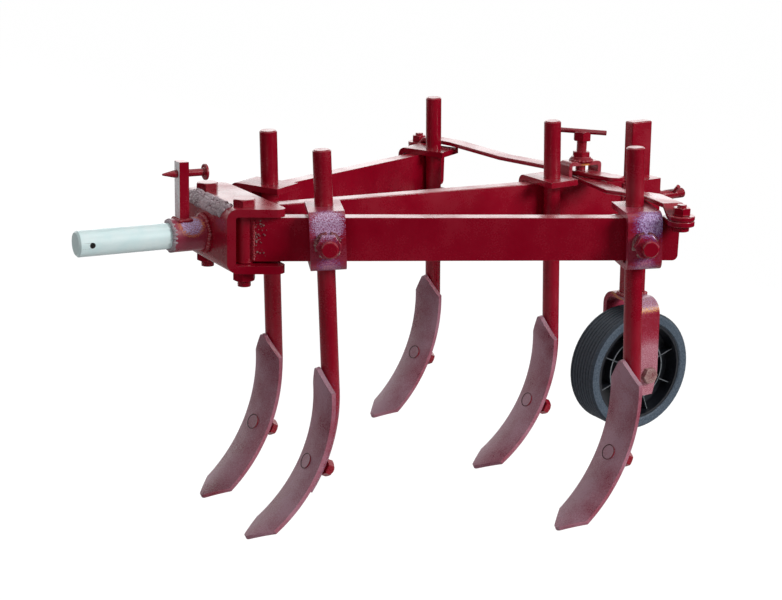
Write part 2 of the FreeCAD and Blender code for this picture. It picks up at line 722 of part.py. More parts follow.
# ---- assembly --------------------------------------------------------------------------
parts = {
    "hitch_shank": hitch_shank(),
    "hitch_tube": hitch_tube(),
    "latch_post": latch_post(),
    "latch_pin": latch_pin(),
    "head_channel": head_channel(),
    "centre_beam": centre_beam(),
    "strap_bridge": strap_bridge(),
    "bridge_screw": bridge_screw(),
    "wheel_socket": stand_leaned(wheel_socket()),
    "socket_screw": stand_leaned(socket_screw()),
    "wheel_bar": stand_leaned(wheel_bar()),
    "wheel_fork": stand_leaned(wheel_fork()),
    "wheel_axle": stand_leaned(wheel_axle()),
    "wheel_hub": stand_leaned(wheel_hub()),
    "wheel_tyre": stand_leaned(wheel_tyre()),
}

both_sides = (("left", left_frame, 1, low_strap_z), ("right", right_frame, -1, high_strap_z))
for name, frame, side, level in both_sides:
    parts[name + "_arm"] = placed(side_arm(), frame)
    parts[name + "_bush"] = placed(arm_bush(), frame)
    parts[name + "_lug"] = placed(lug(side), frame)
    parts[name + "_strap"] = strap(frame, side, level)
    parts[name + "_strap_bolt"] = strap_bolt(frame, side)
    parts[name + "_pivot_bolt"] = pivot_bolt(side)
    parts[name + "_pivot_nut"] = pivot_nut_ring(side)

tine = {"leg": tine_leg(), "share": tine_share(), "share_bolt": share_bolt()}
lean = FreeCAD.Rotation(LEFT, -tine_lean)
for name, frame, heading, station, side, tine_heading, height in stations:
    here = frame.multiply(FreeCAD.Placement(V(station, 0, 0), lean))
    parts[name + "_clamp"] = placed(clamp(side), here)
    parts[name + "_set_screw"] = placed(set_screw(side), here)
    turn = FreeCAD.Rotation(UP, tine_heading - heading)
    post = here.multiply(FreeCAD.Placement(V(0, side * post_offset, height), turn))
    for kind, shape in tine.items():
        parts[name + "_" + kind] = placed(shape, post)

os.makedirs("parts", exist_ok=True)
for name, shape in parts.items():
    shape.exportStep("parts/" + name + ".step")
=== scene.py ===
import json
import math
import random

import bmesh
import bpy
from mathutils import Matrix, Vector

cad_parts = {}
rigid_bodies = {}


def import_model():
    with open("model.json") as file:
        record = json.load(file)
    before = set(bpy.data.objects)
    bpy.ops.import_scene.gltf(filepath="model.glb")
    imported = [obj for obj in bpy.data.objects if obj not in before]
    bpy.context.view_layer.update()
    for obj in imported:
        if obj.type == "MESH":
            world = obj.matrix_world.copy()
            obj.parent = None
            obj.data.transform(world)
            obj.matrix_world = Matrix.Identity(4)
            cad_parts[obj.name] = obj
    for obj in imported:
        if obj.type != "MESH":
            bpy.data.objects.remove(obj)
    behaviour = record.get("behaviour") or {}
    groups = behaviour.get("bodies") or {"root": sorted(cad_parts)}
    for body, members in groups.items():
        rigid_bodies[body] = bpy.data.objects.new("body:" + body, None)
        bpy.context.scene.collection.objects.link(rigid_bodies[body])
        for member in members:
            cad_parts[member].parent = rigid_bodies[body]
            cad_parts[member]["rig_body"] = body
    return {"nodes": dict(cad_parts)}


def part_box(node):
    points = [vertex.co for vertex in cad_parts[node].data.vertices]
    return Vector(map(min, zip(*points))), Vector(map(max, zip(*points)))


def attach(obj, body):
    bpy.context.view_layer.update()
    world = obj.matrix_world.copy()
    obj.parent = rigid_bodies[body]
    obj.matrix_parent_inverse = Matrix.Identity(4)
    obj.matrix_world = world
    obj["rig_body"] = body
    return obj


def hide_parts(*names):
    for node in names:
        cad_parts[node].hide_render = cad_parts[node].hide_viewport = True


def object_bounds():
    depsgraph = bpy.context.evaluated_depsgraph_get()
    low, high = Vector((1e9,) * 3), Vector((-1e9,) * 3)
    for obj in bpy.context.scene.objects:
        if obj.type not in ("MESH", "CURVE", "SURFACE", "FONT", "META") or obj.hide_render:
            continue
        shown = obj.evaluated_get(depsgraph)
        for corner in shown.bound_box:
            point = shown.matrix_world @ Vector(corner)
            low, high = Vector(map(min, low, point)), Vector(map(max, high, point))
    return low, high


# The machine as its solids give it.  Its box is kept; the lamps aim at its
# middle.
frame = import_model()
nodes = frame["nodes"]
cad_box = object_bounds()


# Studio floor: pale, and as low as the gauge wheel reaches when it is let
# right down, which is lower than the tine points.  Its colour is a painted
# pool of light: pale round the machine and darkening in front of, behind and
# to the left of it, so that the steel reflects a lit patch close by and dark
# floor further off.  It is seen pure white.
def added(tree, kind, operation=None, **inputs):
    node = tree.nodes.new("ShaderNode" + kind)
    if operation:
        node.operation = operation
    for name, value in inputs.items():
        node.inputs[name.replace("_", " ")].default_value = value
    return node


wheel_travel = 0.076
floor_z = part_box("wheel_tyre")[0].z - wheel_travel
floor_half = 60.0
lit_centre = 0.45             # behind the origin
camera_glow = 0.9             # how much of its glow the viewer sees
pale = bpy.data.materials.new("pale_floor")
pale.use_nodes = True
tree = pale.node_tree
tree.nodes.clear()
link = tree.links.new
out = added(tree, "OutputMaterial")
matt = added(tree, "BsdfDiffuse")
place = added(tree, "TexCoord")
sides = added(tree, "SeparateXYZ")
centred = added(tree, "Math")
centred.inputs[1].default_value = lit_centre
away = added(tree, "Math", "ABSOLUTE")
# painted pool of light on the floor: its colour fades from pale near the machine to dark away from
# it
fade = added(tree, "MapRange", From_Min=0.6, From_Max=1.2, To_Min=0.8, To_Max=0.03)
left_fade = added(tree, "MapRange", From_Min=0.25, From_Max=0.8, To_Min=1.0, To_Max=0.04)
white = added(tree, "Math", "MULTIPLY")
glow = added(tree, "Emission", Strength=1.108)
path = added(tree, "LightPath")
seen = added(tree, "Math", "MULTIPLY")
seen.inputs[1].default_value = camera_glow
mix = added(tree, "MixShader")
link(place.outputs["Object"], sides.inputs[0])
link(sides.outputs["X"], centred.inputs[0])
link(centred.outputs[0], away.inputs[0])
link(away.outputs[0], fade.inputs["Value"])
link(sides.outputs["Y"], left_fade.inputs["Value"])
link(fade.outputs["Result"], white.inputs[0])
link(left_fade.outputs["Result"], white.inputs[1])
link(white.outputs[0], matt.inputs["Color"])
link(path.outputs["Is Camera Ray"], seen.inputs[0])
link(seen.outputs[0], mix.inputs["Fac"])
link(matt.outputs[0], mix.inputs[1])
link(glow.outputs[0], mix.inputs[2])
link(mix.outputs[0], out.inputs["Surface"])

bm = bmesh.new()
bmesh.ops.create_grid(bm, x_segments=1, y_segments=1, size=floor_half)
bmesh.ops.translate(bm, verts=bm.verts, vec=(0, 0, floor_z))
mesh = bpy.data.meshes.new("floor")
bm.to_mesh(mesh)
bm.free()
mesh.materials.append(pale)
floor = bpy.data.objects.new("floor", mesh)
bpy.context.scene.collection.objects.link(floor)

# Air round the studio: white to the eye and in every gloss, and dim as a
# light, so that the flanks stay deep red.
dim_light = 0.07
world = bpy.data.worlds.new("studio")
bpy.context.scene.world = world
world.use_nodes = True
tree = world.node_tree
tree.nodes.clear()
link = tree.links.new
out = added(tree, "OutputWorld")
sky = added(tree, "Background", Color=(1, 1, 1, 1))
path = added(tree, "LightPath")
level = added(tree, "MapRange", To_Min=dim_light, To_Max=1.0)
mirrored = added(tree, "Math", "MAXIMUM")
shown = added(tree, "Math", "MAXIMUM")
link(path.outputs["Is Glossy Ray"], mirrored.inputs[0])
link(path.outputs["Is Transmission Ray"], mirrored.inputs[1])
link(path.outputs["Is Camera Ray"], shown.inputs[0])
link(mirrored.outputs[0], shown.inputs[1])
link(shown.outputs[0], level.inputs["Value"])
link(level.outputs["Result"], sky.inputs["Strength"])
link(sky.outputs[0], out.inputs["Surface"])

# Lamps, each with its place, width, height and watts: a key from the left
# rear, weak ones from the left front, the right front and above, and a long
# low panel on the right behind the machine that whitens upward faces.
middle = (cad_box[0] + cad_box[1]) / 2
lamps = (("key", (-1.7, 1.95, 1.1), 0.9, 0.9, 52),
         ("fill", (1.6, 1.4, 0.7), 1.2, 1.2, 10),
         ("panel", (-1.9, -3.0, 0.9), 5.5, 1.9, 48),
         ("right_front", (1.2, -2.4, 0.5), 2.0, 1.6, 14),
         ("top", (-0.3, 0.2, 2.2), 1.5, 1.5, 9))
for name, place, wide, tall, watts in lamps:
    lamp = bpy.data.lights.new(name, "AREA")
    lamp.shape = "RECTANGLE"
    lamp.size = wide
    lamp.size_y = tall
    lamp.energy = watts
    holder = bpy.data.objects.new(name, lamp)
    holder.location = place
    holder.rotation_euler = (middle - Vector(place)).to_track_quat("-Z", "Y").to_euler()
    bpy.context.scene.collection.objects.link(holder)

# The viewer stands off the left front corner and looks down a little.
view_place = (0.49043, 1.49113, 0.35753)
view_heading, view_tilt, view_roll = -209.73, 75.09, 1.57
camera = bpy.data.cameras.new("camera")
camera.sensor_width = 36
camera.lens = 70.43
viewer = bpy.data.objects.new("camera", camera)
viewer.matrix_world = (Matrix.Translation(view_place)
                       @ Matrix.Rotation(math.radians(view_heading), 4, "Z")
                       @ Matrix.Rotation(math.radians(view_tilt), 4, "X")
                       @ Matrix.Rotation(math.radians(view_roll), 4, "Z"))
bpy.context.scene.collection.objects.link(viewer)
bpy.context.scene.camera = viewer
bpy.context.scene.view_settings.view_transform = "Standard"


# Beams, head, bushes, lugs, straps, right and centre clamps and the wheel
# socket: sawn and bent steel under crimson enamel, glossy with a fine orange
# peel.  Edges are broken as sawing, bending and paint leave them.
def enamel(name, colour, cloud_colour, cloud_low, cloud_high, roughness, peel_size, peel_depth):
    dusty_roughness = 0.25
    paint = bpy.data.materials.new(name)
    paint.use_nodes = True
    tree = paint.node_tree
    link = tree.links.new
    shader = tree.nodes["Principled BSDF"]
    shader.inputs["IOR"].default_value = 1.45
    place = added(tree, "TexCoord")
    broad = added(tree, "TexNoise", Scale=22, Detail=5)
    grain = added(tree, "TexNoise", Scale=650, Detail=3)
    both = added(tree, "Math", "MULTIPLY_ADD")
    both.inputs[1].default_value = 0.45
    ramp = added(tree, "ValToRGB")
    ramp.color_ramp.elements[0].position = cloud_low
    ramp.color_ramp.elements[0].color = (*colour, 1)
    ramp.color_ramp.elements[1].position = cloud_high
    ramp.color_ramp.elements[1].color = (*cloud_colour, 1)
    gloss = added(tree, "MapRange", From_Min=cloud_low, From_Max=cloud_high,
                  To_Min=roughness, To_Max=roughness + dusty_roughness)
    peel = added(tree, "TexNoise", Scale=peel_size)
    bump = added(tree, "Bump", Strength=peel_depth, Distance=0.001)
    for noise in (broad, grain, peel):
        link(place.outputs["Object"], noise.inputs["Vector"])
    link(grain.outputs["Fac"], both.inputs[0])
    link(broad.outputs["Fac"], both.inputs[2])
    link(both.outputs[0], ramp.inputs["Fac"])
    link(both.outputs[0], gloss.inputs["Value"])
    link(ramp.outputs["Color"], shader.inputs["Base Color"])
    link(gloss.outputs["Result"], shader.inputs["Roughness"])
    link(peel.outputs["Fac"], bump.inputs["Height"])
    link(bump.outputs["Normal"], shader.inputs["Normal"])
    return paint


def finished(name, bm, material, body):
    smooth_angle = math.radians(34)
    mesh = bpy.data.meshes.new(name)
    bm.to_mesh(mesh)
    bm.free()
    mesh.materials.append(material)
    piece = bpy.data.objects.new(name, mesh)
    bpy.context.scene.collection.objects.link(piece)
    mesh.polygons.foreach_set("use_smooth", [True] * len(mesh.polygons))
    mesh.set_sharp_from_angle(angle=smooth_angle)
    piece.modifiers.new("flat_faces", "WEIGHTED_NORMAL").keep_sharp = True
    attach(piece, body)
    return piece


def body_of(node):
    return nodes[node]["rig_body"]


def dressed(node, material, edge):
    same_point = 1e-5
    same_plane = math.radians(0.6)
    sharp_angle = math.radians(38)
    bm = bmesh.new()
    bm.from_mesh(nodes[node].data)
    bmesh.ops.remove_doubles(bm, verts=bm.verts, dist=same_point)
    bmesh.ops.dissolve_limit(bm, angle_limit=same_plane, verts=bm.verts, edges=bm.edges)
    sharp = [e for e in bm.edges
             if len(e.link_faces) == 2 and e.calc_face_angle(0) > sharp_angle]
    bmesh.ops.bevel(bm, geom=sharp, offset=edge, offset_type="OFFSET", segments=2,
                    profile=0.5, affect="EDGES", clamp_overlap=True, material=-1)
    piece = finished(node + "_dressed", bm, material, body_of(node))
    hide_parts(node)
    return piece


beam_edge = 0.001
crimson_red = (0.26, 0.0008, 0.012)
crimson_cloud = (0.29, 0.003, 0.018)
crimson = enamel("crimson_enamel", crimson_red, crimson_cloud, cloud_low=0.5,
                 cloud_high=0.95, roughness=0.12, peel_size=240, peel_depth=0.12)
for node in ("head_channel", "centre_beam", "left_arm", "right_arm", "left_bush", "right_bush",
             "left_lug", "right_lug", "left_strap", "right_strap", "centre_clamp",
             "right_front_clamp", "right_rear_clamp", "wheel_socket"):
    dressed(node, crimson, beam_edge)

# Pivot bolts, strap bolts, their nuts and the bridge screw: hexagon heads,
# painted over with the frame, so that their edges are only just broken.
fastener_edge = 0.0005
for node in ("left_pivot_bolt", "right_pivot_bolt", "left_pivot_nut", "right_pivot_nut",
             "left_strap_bolt", "right_strap_bolt", "bridge_screw"):
    dressed(node, crimson, fastener_edge)


# Hitch shank: bright zinc on round bar, drilled across for the pin.  The wall
# of the hole is painted dark, as painted shade for the shadow it lies in.
def plain(name, dark, light, scale, roughness, depth):
    stuff = bpy.data.materials.new(name)
    stuff.use_nodes = True
    tree = stuff.node_tree
    link = tree.links.new
    shader = tree.nodes["Principled BSDF"]
    shader.inputs["Roughness"].default_value = roughness
    place = added(tree, "TexCoord")
    grain = added(tree, "TexNoise", Scale=scale, Detail=6)
    ramp = added(tree, "ValToRGB")
    ramp.color_ramp.elements[0].position = 0.3
    ramp.color_ramp.elements[0].color = (*dark, 1)
    ramp.color_ramp.elements[1].position = 0.7
    ramp.color_ramp.elements[1].color = (*light, 1)
    bump = added(tree, "Bump", Strength=0.3, Distance=depth)
    link(place.outputs["Object"], grain.inputs["Vector"])
    link(grain.outputs["Fac"], ramp.inputs["Fac"])
    link(ramp.outputs["Color"], shader.inputs["Base Color"])
    link(grain.outputs["Fac"], bump.inputs["Height"])
    link(bump.outputs["Normal"], shader.inputs["Normal"])
    return stuff


pin_edge = 0.0008
hole_reach = 0.0045           # from the origin, which is the hole's centre
zinc = plain("bright_zinc", (0.74, 0.95, 0.96), (0.86, 1.0, 1.0),
             scale=60, roughness=0.22, depth=0.0002)
# dark paint: a real dark joint line round the share bolt heads, and painted shade on the wall of
# the shank's hole
bolt_joint_and_hole_shade = enamel("share_bolt_joint_and_hole_shade", (0.015, 0.002, 0.004), (0.03, 0.006, 0.01),
                    cloud_low=0.5, cloud_high=0.9, roughness=0.5, peel_size=700, peel_depth=0.1)
shank = dressed("hitch_shank", zinc, pin_edge)
shank.data.materials.append(bolt_joint_and_hole_shade)
# painted shade: the faces of the hole's wall get the dark paint
for face in shank.data.polygons:
    if math.hypot(face.center.x, face.center.z) < hole_reach:
        face.material_index = 1


# Hitch tube, latch post and latch pin: the post is welded on the tube, and
# its front face, where it meets the tractor, is near white.  A weld's heat
# turns the paint violet and pale in fine specks, with a coloured rim round
# the patch.
# The same speckled patch also paints the paler pink low on the tine legs, partly as painted floor
# reflection.
def speckled_heat_and_sheen_patch(paint, centre, inner, outer, rim, deep, pale_tint):
    tree = paint.node_tree
    link = tree.links.new
    shader = tree.nodes["Principled BSDF"]
    before = shader.inputs["Base Color"].links[0].from_socket
    gap = added(tree, "VectorMath", "DISTANCE")
    gap.inputs[1].default_value = centre
    near = added(tree, "MapRange", From_Min=outer, From_Max=inner, To_Min=-1.45, To_Max=-0.4)
    speck = added(tree, "TexNoise", Scale=900, Detail=4)
    patchy = added(tree, "Math", "MULTIPLY_ADD")
    patchy.inputs[1].default_value = 2.1
    patchy.use_clamp = True
    tints = added(tree, "ValToRGB")
    stops = tints.color_ramp.elements
    stops[0].position, stops[0].color = 0.25, (*rim, 1)
    stops[1].position, stops[1].color = 0.42, (*deep, 1)
    pale_stop = stops.new(0.85)
    pale_stop.color = (*pale_tint, 1)
    edge = added(tree, "MapRange", From_Min=0.12, From_Max=0.24)
    blend = added(tree, "Mix")
    blend.data_type = "RGBA"
    colours = [socket for socket in blend.inputs if socket.type == "RGBA"]
    blended = [socket for socket in blend.outputs if socket.type == "RGBA"]
    place = tree.nodes["Texture Coordinate"].outputs["Object"]
    link(place, gap.inputs[0])
    link(gap.outputs["Value"], near.inputs["Value"])
    link(place, speck.inputs["Vector"])
    link(speck.outputs["Fac"], patchy.inputs[0])
    link(near.outputs["Result"], patchy.inputs[2])
    link(patchy.outputs[0], tints.inputs["Fac"])
    link(patchy.outputs[0], edge.inputs["Value"])
    link(edge.outputs["Result"], blend.inputs["Factor"])
    link(before, colours[0])
    link(tints.outputs["Color"], colours[1])
    link(blended[0], shader.inputs["Base Color"])


plate_edge = 0.0009
orange, red_rim = (0.85, 0.28, 0.03), (0.33, 0.01, 0.03)
violet, lilac = (0.24, 0.07, 0.22), (0.72, 0.55, 0.85)
marked = enamel("heat_marked_enamel", (0.26, 0.001, 0.012), (0.34, 0.04, 0.08), cloud_low=0.5,
                cloud_high=0.9, roughness=0.15, peel_size=700, peel_depth=0.2)
dressed("hitch_tube", marked, plate_edge)
speckled_heat_and_sheen_patch(marked, (-0.109, 0.012, 0.0135), inner=0.010, outer=0.018,
        rim=orange, deep=violet, pale_tint=lilac)
pale_front = enamel("pale_front_enamel", (0.95, 0.94, 0.96), (0.55, 0.35, 0.38), cloud_low=0.6,
                 cloud_high=0.95, roughness=0.3, peel_size=700, peel_depth=0.2)
post = dressed("latch_post", crimson, plate_edge)
post.data.materials.append(pale_front)
# faces turned forward take the near-white paint
faces_front = 0.9
for face in post.data.polygons:
    if face.normal.x > faces_front:
        face.material_index = 1
dressed("latch_pin", crimson, pin_edge)

# Left clamps: plate bent round the beam and the post, with a nut welded on
# for the set screw.  A beam runs rearwards from its pivot along its own X,
# and all five clamps lean back three degrees on their beams.
pivot_x, beam_z = -0.153, 0.0025
clamp_lean = math.radians(-3)
headings = {"left": 157.6, "right": 205.9, "centre": 180}
pivots = {"left": 0.0497, "right": -0.0497, "centre": 0}
beams = {side: Matrix.Translation((pivot_x, pivots[side], beam_z))
         @ Matrix.Rotation(math.radians(headings[side]), 4, "Z") for side in headings}
places = {"left_front": ("left", 0.0865, 1), "left_rear": ("left", 0.427, 1),
          "right_front": ("right", 0.0865, -1), "right_rear": ("right", 0.427, -1),
          "centre": ("centre", 0.4155, -1)}
clamps = {name: beams[side] @ Matrix.Translation((station, 0, 0))
          @ Matrix.Rotation(clamp_lean, 4, "Y") for name, (side, station, hand) in places.items()}
rose = (0.55, 0.20, 0.26)
for node in ("left_front_clamp", "left_rear_clamp"):
    dressed(node, marked, plate_edge)
speckled_heat_and_sheen_patch(marked, clamps["left_front"] @ Vector((0, -0.024, 0.019)), inner=0.013, outer=0.030,
        rim=red_rim, deep=(0.30, 0.08, 0.20), pale_tint=(0.72, 0.52, 0.74))
speckled_heat_and_sheen_patch(marked, clamps["left_rear"] @ Vector((0.006, -0.024, 0.019)), inner=0.010, outer=0.030,
        rim=red_rim, deep=(0.16, 0.04, 0.24), pale_tint=lilac)
for name in ("left_front", "left_rear"):
    speckled_heat_and_sheen_patch(marked, clamps[name] @ Vector((0, -0.024, -0.028)), inner=0.006, outer=0.024,
            rim=red_rim, deep=violet, pale_tint=rose)

# Tine posts and legs: round bar, its leg curved forwards behind the share.
# Lower down they are speckled paler pink, partly dry spray and partly a
# painted reflection of the pale floor, inside a sphere so large that its edge
# runs nearly level.
bar_edge = 0.0018
leg_paint = enamel("leg_enamel", crimson_red, crimson_cloud, cloud_low=0.5, cloud_high=0.95,
                   roughness=0.14, peel_size=500, peel_depth=0.2)
for name in places:
    dressed(name + "_leg", leg_paint, bar_edge)
# painted reflection of the pale floor, with dry-spray speckle, below the sphere's nearly level
# edge
speckled_heat_and_sheen_patch(leg_paint, (-0.45, 0, -3.0), inner=2.72, outer=2.93,
        rim=(0.28, 0.02, 0.05), deep=(0.24, 0.05, 0.09), pale_tint=(0.44, 0.24, 0.32))

# Shares: curved, crowned and pointed plate under satin enamel.  Their pale
# haze is partly dry spray and partly a painted reflection of the pale floor,
# and their side faces get a brighter red copy of the paint, with more of the
# haze, as painted light.
share_edge = 0.0012
faces_side = 0.8
# satin: the pale pink clouds are partly painted reflection of the floor
satin = enamel("satin_share_enamel", (0.17, 0.005, 0.03), (0.34, 0.18, 0.23), cloud_low=0.52,
               cloud_high=0.9, roughness=0.24, peel_size=1100, peel_depth=0.6)
# side faces' copy: brighter red with more haze, as painted light on the plate's edges
share_side = enamel("share_edge_enamel", (0.26, 0.015, 0.04), (0.42, 0.18, 0.24),
                    cloud_low=0.48, cloud_high=0.9, roughness=0.24, peel_size=900, peel_depth=0.3)
for name in places:
    share = dressed(name + "_share", satin, share_edge)
    share.data.materials.append(share_side)
    for face in share.data.polygons:
        if abs(face.normal.y) > faces_side:
            face.material_index = 1

# Share bolts: their heads lie flush in the shares, painted with them, and
# show as a dark joint line.
head_edge = 0.0004
joint_width, joint_depth = 0.0011, -0.0004
for name in places:
    bolt = dressed(name + "_share_bolt", crimson, head_edge)
    bolt.data.materials.append(bolt_joint_and_hole_shade)
    bolt.data.materials.append(satin)
    bm = bmesh.new()
    bm.from_mesh(bolt.data)
    head = max(bm.faces, key=lambda face: face.calc_area())
    head.material_index = 2
    joint = bmesh.ops.inset_region(bm, faces=[head], thickness=joint_width, depth=joint_depth)
    for face in joint["faces"]:
        face.material_index = 1
    bm.to_mesh(bolt.data)
    bm.free()

# Strap bridge: bent plate over both straps, welded down on the centre beam,
# with a nut on top for its screw and a heat mark on its left side.
bridge_x = -0.622
weld_orange = (0.9, 0.40, 0.03)
bridge_paint = enamel("bridge_enamel", crimson_red, (0.34, 0.04, 0.06), cloud_low=0.5,
                      cloud_high=0.9, roughness=0.14, peel_size=500, peel_depth=0.2)
dressed("strap_bridge", bridge_paint, plate_edge)
speckled_heat_and_sheen_patch(bridge_paint, (bridge_x, 0.012, 0.0405), inner=0.003, outer=0.011,
        rim=weld_orange, deep=(0.5, 0.1, 0.04), pale_tint=(0.9, 0.6, 0.3))

# Wheel stem, fork, axle and the socket's tommy screw: the stem leans back
# two degrees.  The fork is burnt round its shoulder and low on its leg.
stand = (Matrix.Translation((-0.685, 0, beam_z)) @ Matrix.Rotation(math.radians(2), 4, "Y")
         @ Matrix.Translation((-0.0253, 0, -beam_z)))
# weld_scale paint: dark scale with pale clouds, which on the axle bolt are a painted glint and on
# the nut welds partly painted highlight
scale = enamel("weld_scale", (0.15, 0.006, 0.018), (0.55, 0.42, 0.38), cloud_low=0.6,
               cloud_high=0.92, roughness=0.3, peel_size=700, peel_depth=0.4)
dressed("wheel_bar", leg_paint, bar_edge)
dressed("wheel_fork", marked, plate_edge)
# painted glint: the axle bolt takes the pale-clouded scale paint
dressed("wheel_axle", scale, pin_edge)
dressed("socket_screw", crimson, pin_edge)
speckled_heat_and_sheen_patch(marked, stand @ Vector((0, 0.030, -0.02)), inner=0.118, outer=0.130,
        rim=weld_orange, deep=(0.20, 0.03, 0.07), pale_tint=(0.52, 0.30, 0.42))
speckled_heat_and_sheen_patch(marked, stand @ Vector((0, 0.039, -0.225)), inner=0.035, outer=0.065,
        rim=red_rim, deep=(0.35, 0.07, 0.11), pale_tint=(0.52, 0.25, 0.30))

# Welds: a rough bead laid drop by drop along each seam, painted with the
# steel, and left as bare scale round the nuts and on the head's edge.  The
# scale's pale clouds round the nuts are partly painted highlight.
chance = random.Random(7)


def bead(bm, place, points, radius, closed=False):
    drop_length = 0.62
    ends = [place @ Vector(p) for p in points]
    if closed:
        ends.append(ends[0])
    for start, end in zip(ends, ends[1:]):
        count = max(1, round((end - start).length / (drop_length * radius)))
        turn = (end - start).to_track_quat("Z", "Y").to_matrix().to_4x4()
        for step in range(count):
            size = radius * chance.uniform(0.85, 1.15)
            stray = Vector([chance.uniform(-0.12, 0.12) * radius for _ in range(3)])
            spot = start.lerp(end, step / count) + stray
            bmesh.ops.create_icosphere(bm, subdivisions=2, radius=1,
                                       matrix=Matrix.Translation(spot) @ turn
                                       @ Matrix.Diagonal((size, size, drop_length * size, 1)))


def circle(radius, height, start=0, stop=360, axis="Z"):
    step = 15
    points = []
    for turn in range(round((stop - start) / step) + 1):
        angle = math.radians(start + step * turn)
        across, along = radius * math.cos(angle), radius * math.sin(angle)
        points.append({"X": (height, across, along), "Y": (across, height, along),
                       "Z": (across, along, height)}[axis])
    return points


def block(long, wide, height):
    return [(long, wide, height), (-long, wide, height),
            (-long, -wide, height), (long, -wide, height)]


here = Matrix.Identity(4)
beam_side = 0.0095

# The head's upper front edge: a heaped, rough weld right across it.
head_x, head_z, head_round = -0.1395, 0.026, 0.011
cinder = enamel("head_weld_scale", (0.11, 0.015, 0.025), (0.50, 0.42, 0.46), cloud_low=0.48,
                cloud_high=0.9, roughness=0.3, peel_size=700, peel_depth=0.6)
bm = bmesh.new()
for drop in range(260):
    rise = math.radians(chance.uniform(5, 95))
    spot = (head_x + head_round * math.cos(rise), chance.uniform(-0.049, 0.047),
            head_z + head_round * math.sin(rise))
    size = chance.uniform(0.0018, 0.0034)
    bmesh.ops.create_icosphere(bm, subdivisions=2, radius=1, matrix=Matrix.Translation(spot)
                               @ Matrix.Diagonal((size, size * chance.uniform(0.8, 1.6), size, 1)))
bead(bm, here, circle(0.0155, -0.0895, axis="X"), 0.0030)
finished("head_edge_weld", bm, cinder, "frame")

# Frame: tube to head, latch post to tube, both sides of the centre beam at
# the head, the socket and the bridge, and the bridge's nut.
bm = bmesh.new()
bead(bm, here, circle(0.0185, -0.1275, axis="X"), 0.0038)
bead(bm, Matrix.Translation((-0.1033, 0, 0.0165)), block(0.0065, 0.0082, 0), 0.0026, closed=True)
for edge in (-beam_side, beam_side):
    bead(bm, here, [(-0.1385, edge, -0.021), (-0.1385, edge, 0.026)], 0.0028)
    bead(bm, here, [(-0.6835, edge, -0.020), (-0.6835, edge, 0.019)], 0.0028)
    foot_x = bridge_x + 2.6 * edge
    bead(bm, here, [(foot_x, -0.010, 0.0262), (foot_x, 0.010, 0.0262)], 0.0022)
bead(bm, Matrix.Translation((bridge_x, 0, 0)), circle(0.0125, 0.0488), 0.0022)
finished("frame_welds", bm, crimson, "frame")

# Arms: bush to beam, with spatter behind the seam, and the strap's lug.
for side, hand in (("left", -1), ("right", 1)):
    bm = bmesh.new()
    spatter = bmesh.new()
    for edge in (-beam_side, beam_side):
        bead(bm, beams[side], [(0.0095, edge, -0.0215), (0.0095, edge, 0.0215)], 0.0018)
        for drop in range(45):
            spot = Vector((chance.triangular(0.009, 0.024, 0.011), edge,
                           chance.uniform(-0.021, 0.021)))
            size = chance.uniform(0.0005, 0.0013)
            bmesh.ops.create_icosphere(spatter, subdivisions=1, radius=size,
                                       matrix=beams[side] @ Matrix.Translation(spot))
    lug_y = hand * 0.0098
    bead(bm, beams[side], [(0.4495, lug_y, 0.0205), (0.4765, lug_y, 0.0205)], 0.0022)
    finished(side + "_arm_welds", bm, crimson, side + "_arm")
    finished(side + "_arm_spatter", spatter, scale, side + "_arm")

# Clamps: three short runs round each set screw's nut, in scale paint whose pale clouds are partly
# painted highlight.
for name, (side, station, hand) in places.items():
    bm = bmesh.new()
    nut_face = clamps[name] @ Matrix.Translation((0, -0.0245 * hand, -0.003))
    for start, stop, radius in ((20, 80, 0.0026), (100, 200, 0.0026), (230, 340, 0.0022)):
        bead(bm, nut_face, circle(0.0128, 0, start, stop, "Y"), radius)
    finished(name + "_nut_welds", bm, scale, body_of(name + "_clamp"))

# Fork: one run round the foot of the stem.
bm = bmesh.new()
bead(bm, stand, block(0.0155, 0.0085, -0.1295), 0.0028, closed=True)
finished("fork_welds", bm, crimson, "wheel_stand")


# Threads on the bare ends of the pivot bolts, the bridge and socket screws
# and the strap bolts: a rolled helix over each, painted with the steel.
def poured(bm, other):
    mesh = bpy.data.meshes.new("poured")
    other.to_mesh(mesh)
    other.free()
    bm.from_mesh(mesh)
    bpy.data.meshes.remove(mesh)


def thread(bm, place, radius, length):
    pitch, depth = 0.0018, 0.0003
    steps_a_turn = 20
    turns = max(1, round(length / pitch)) - 1
    crest = bmesh.new()
    points = [crest.verts.new((radius - depth, 0, 0)),
              crest.verts.new((radius + depth, 0, pitch / 2)),
              crest.verts.new((radius - depth, 0, pitch))]
    edges = [crest.edges.new(pair) for pair in zip(points, points[1:])]
    bmesh.ops.spin(crest, geom=points + edges, cent=(0, 0, 0), axis=(0, 0, 1),
                   dvec=(0, 0, pitch / steps_a_turn), angle=math.tau * turns,
                   steps=steps_a_turn * turns)
    bmesh.ops.transform(crest, matrix=place, verts=crest.verts)
    bmesh.ops.recalc_face_normals(crest, faces=crest.faces)
    poured(bm, crest)


screw_radius = 0.006
bm = bmesh.new()
for side in ("left", "right"):
    thread(bm, Matrix.Translation((pivot_x, pivots[side], -0.0496)), 0.007, 0.0072)
thread(bm, Matrix.Translation((bridge_x, 0, 0.0592)), screw_radius, 0.0144)
thread(bm, stand @ Matrix.Translation((-0.0753, 0, -0.0065))
       @ Matrix.Rotation(math.radians(90), 4, "Y"), screw_radius, 0.030)
finished("frame_threads", bm, crimson, "frame")
for side, hand in (("left", -1), ("right", 1)):
    bm = bmesh.new()
    thread(bm, beams[side] @ Matrix.Translation((0.463, hand * 0.029, 0.0386)), 0.005, 0.0042)
    finished(side + "_strap_thread", bm, crimson, side + "_arm")

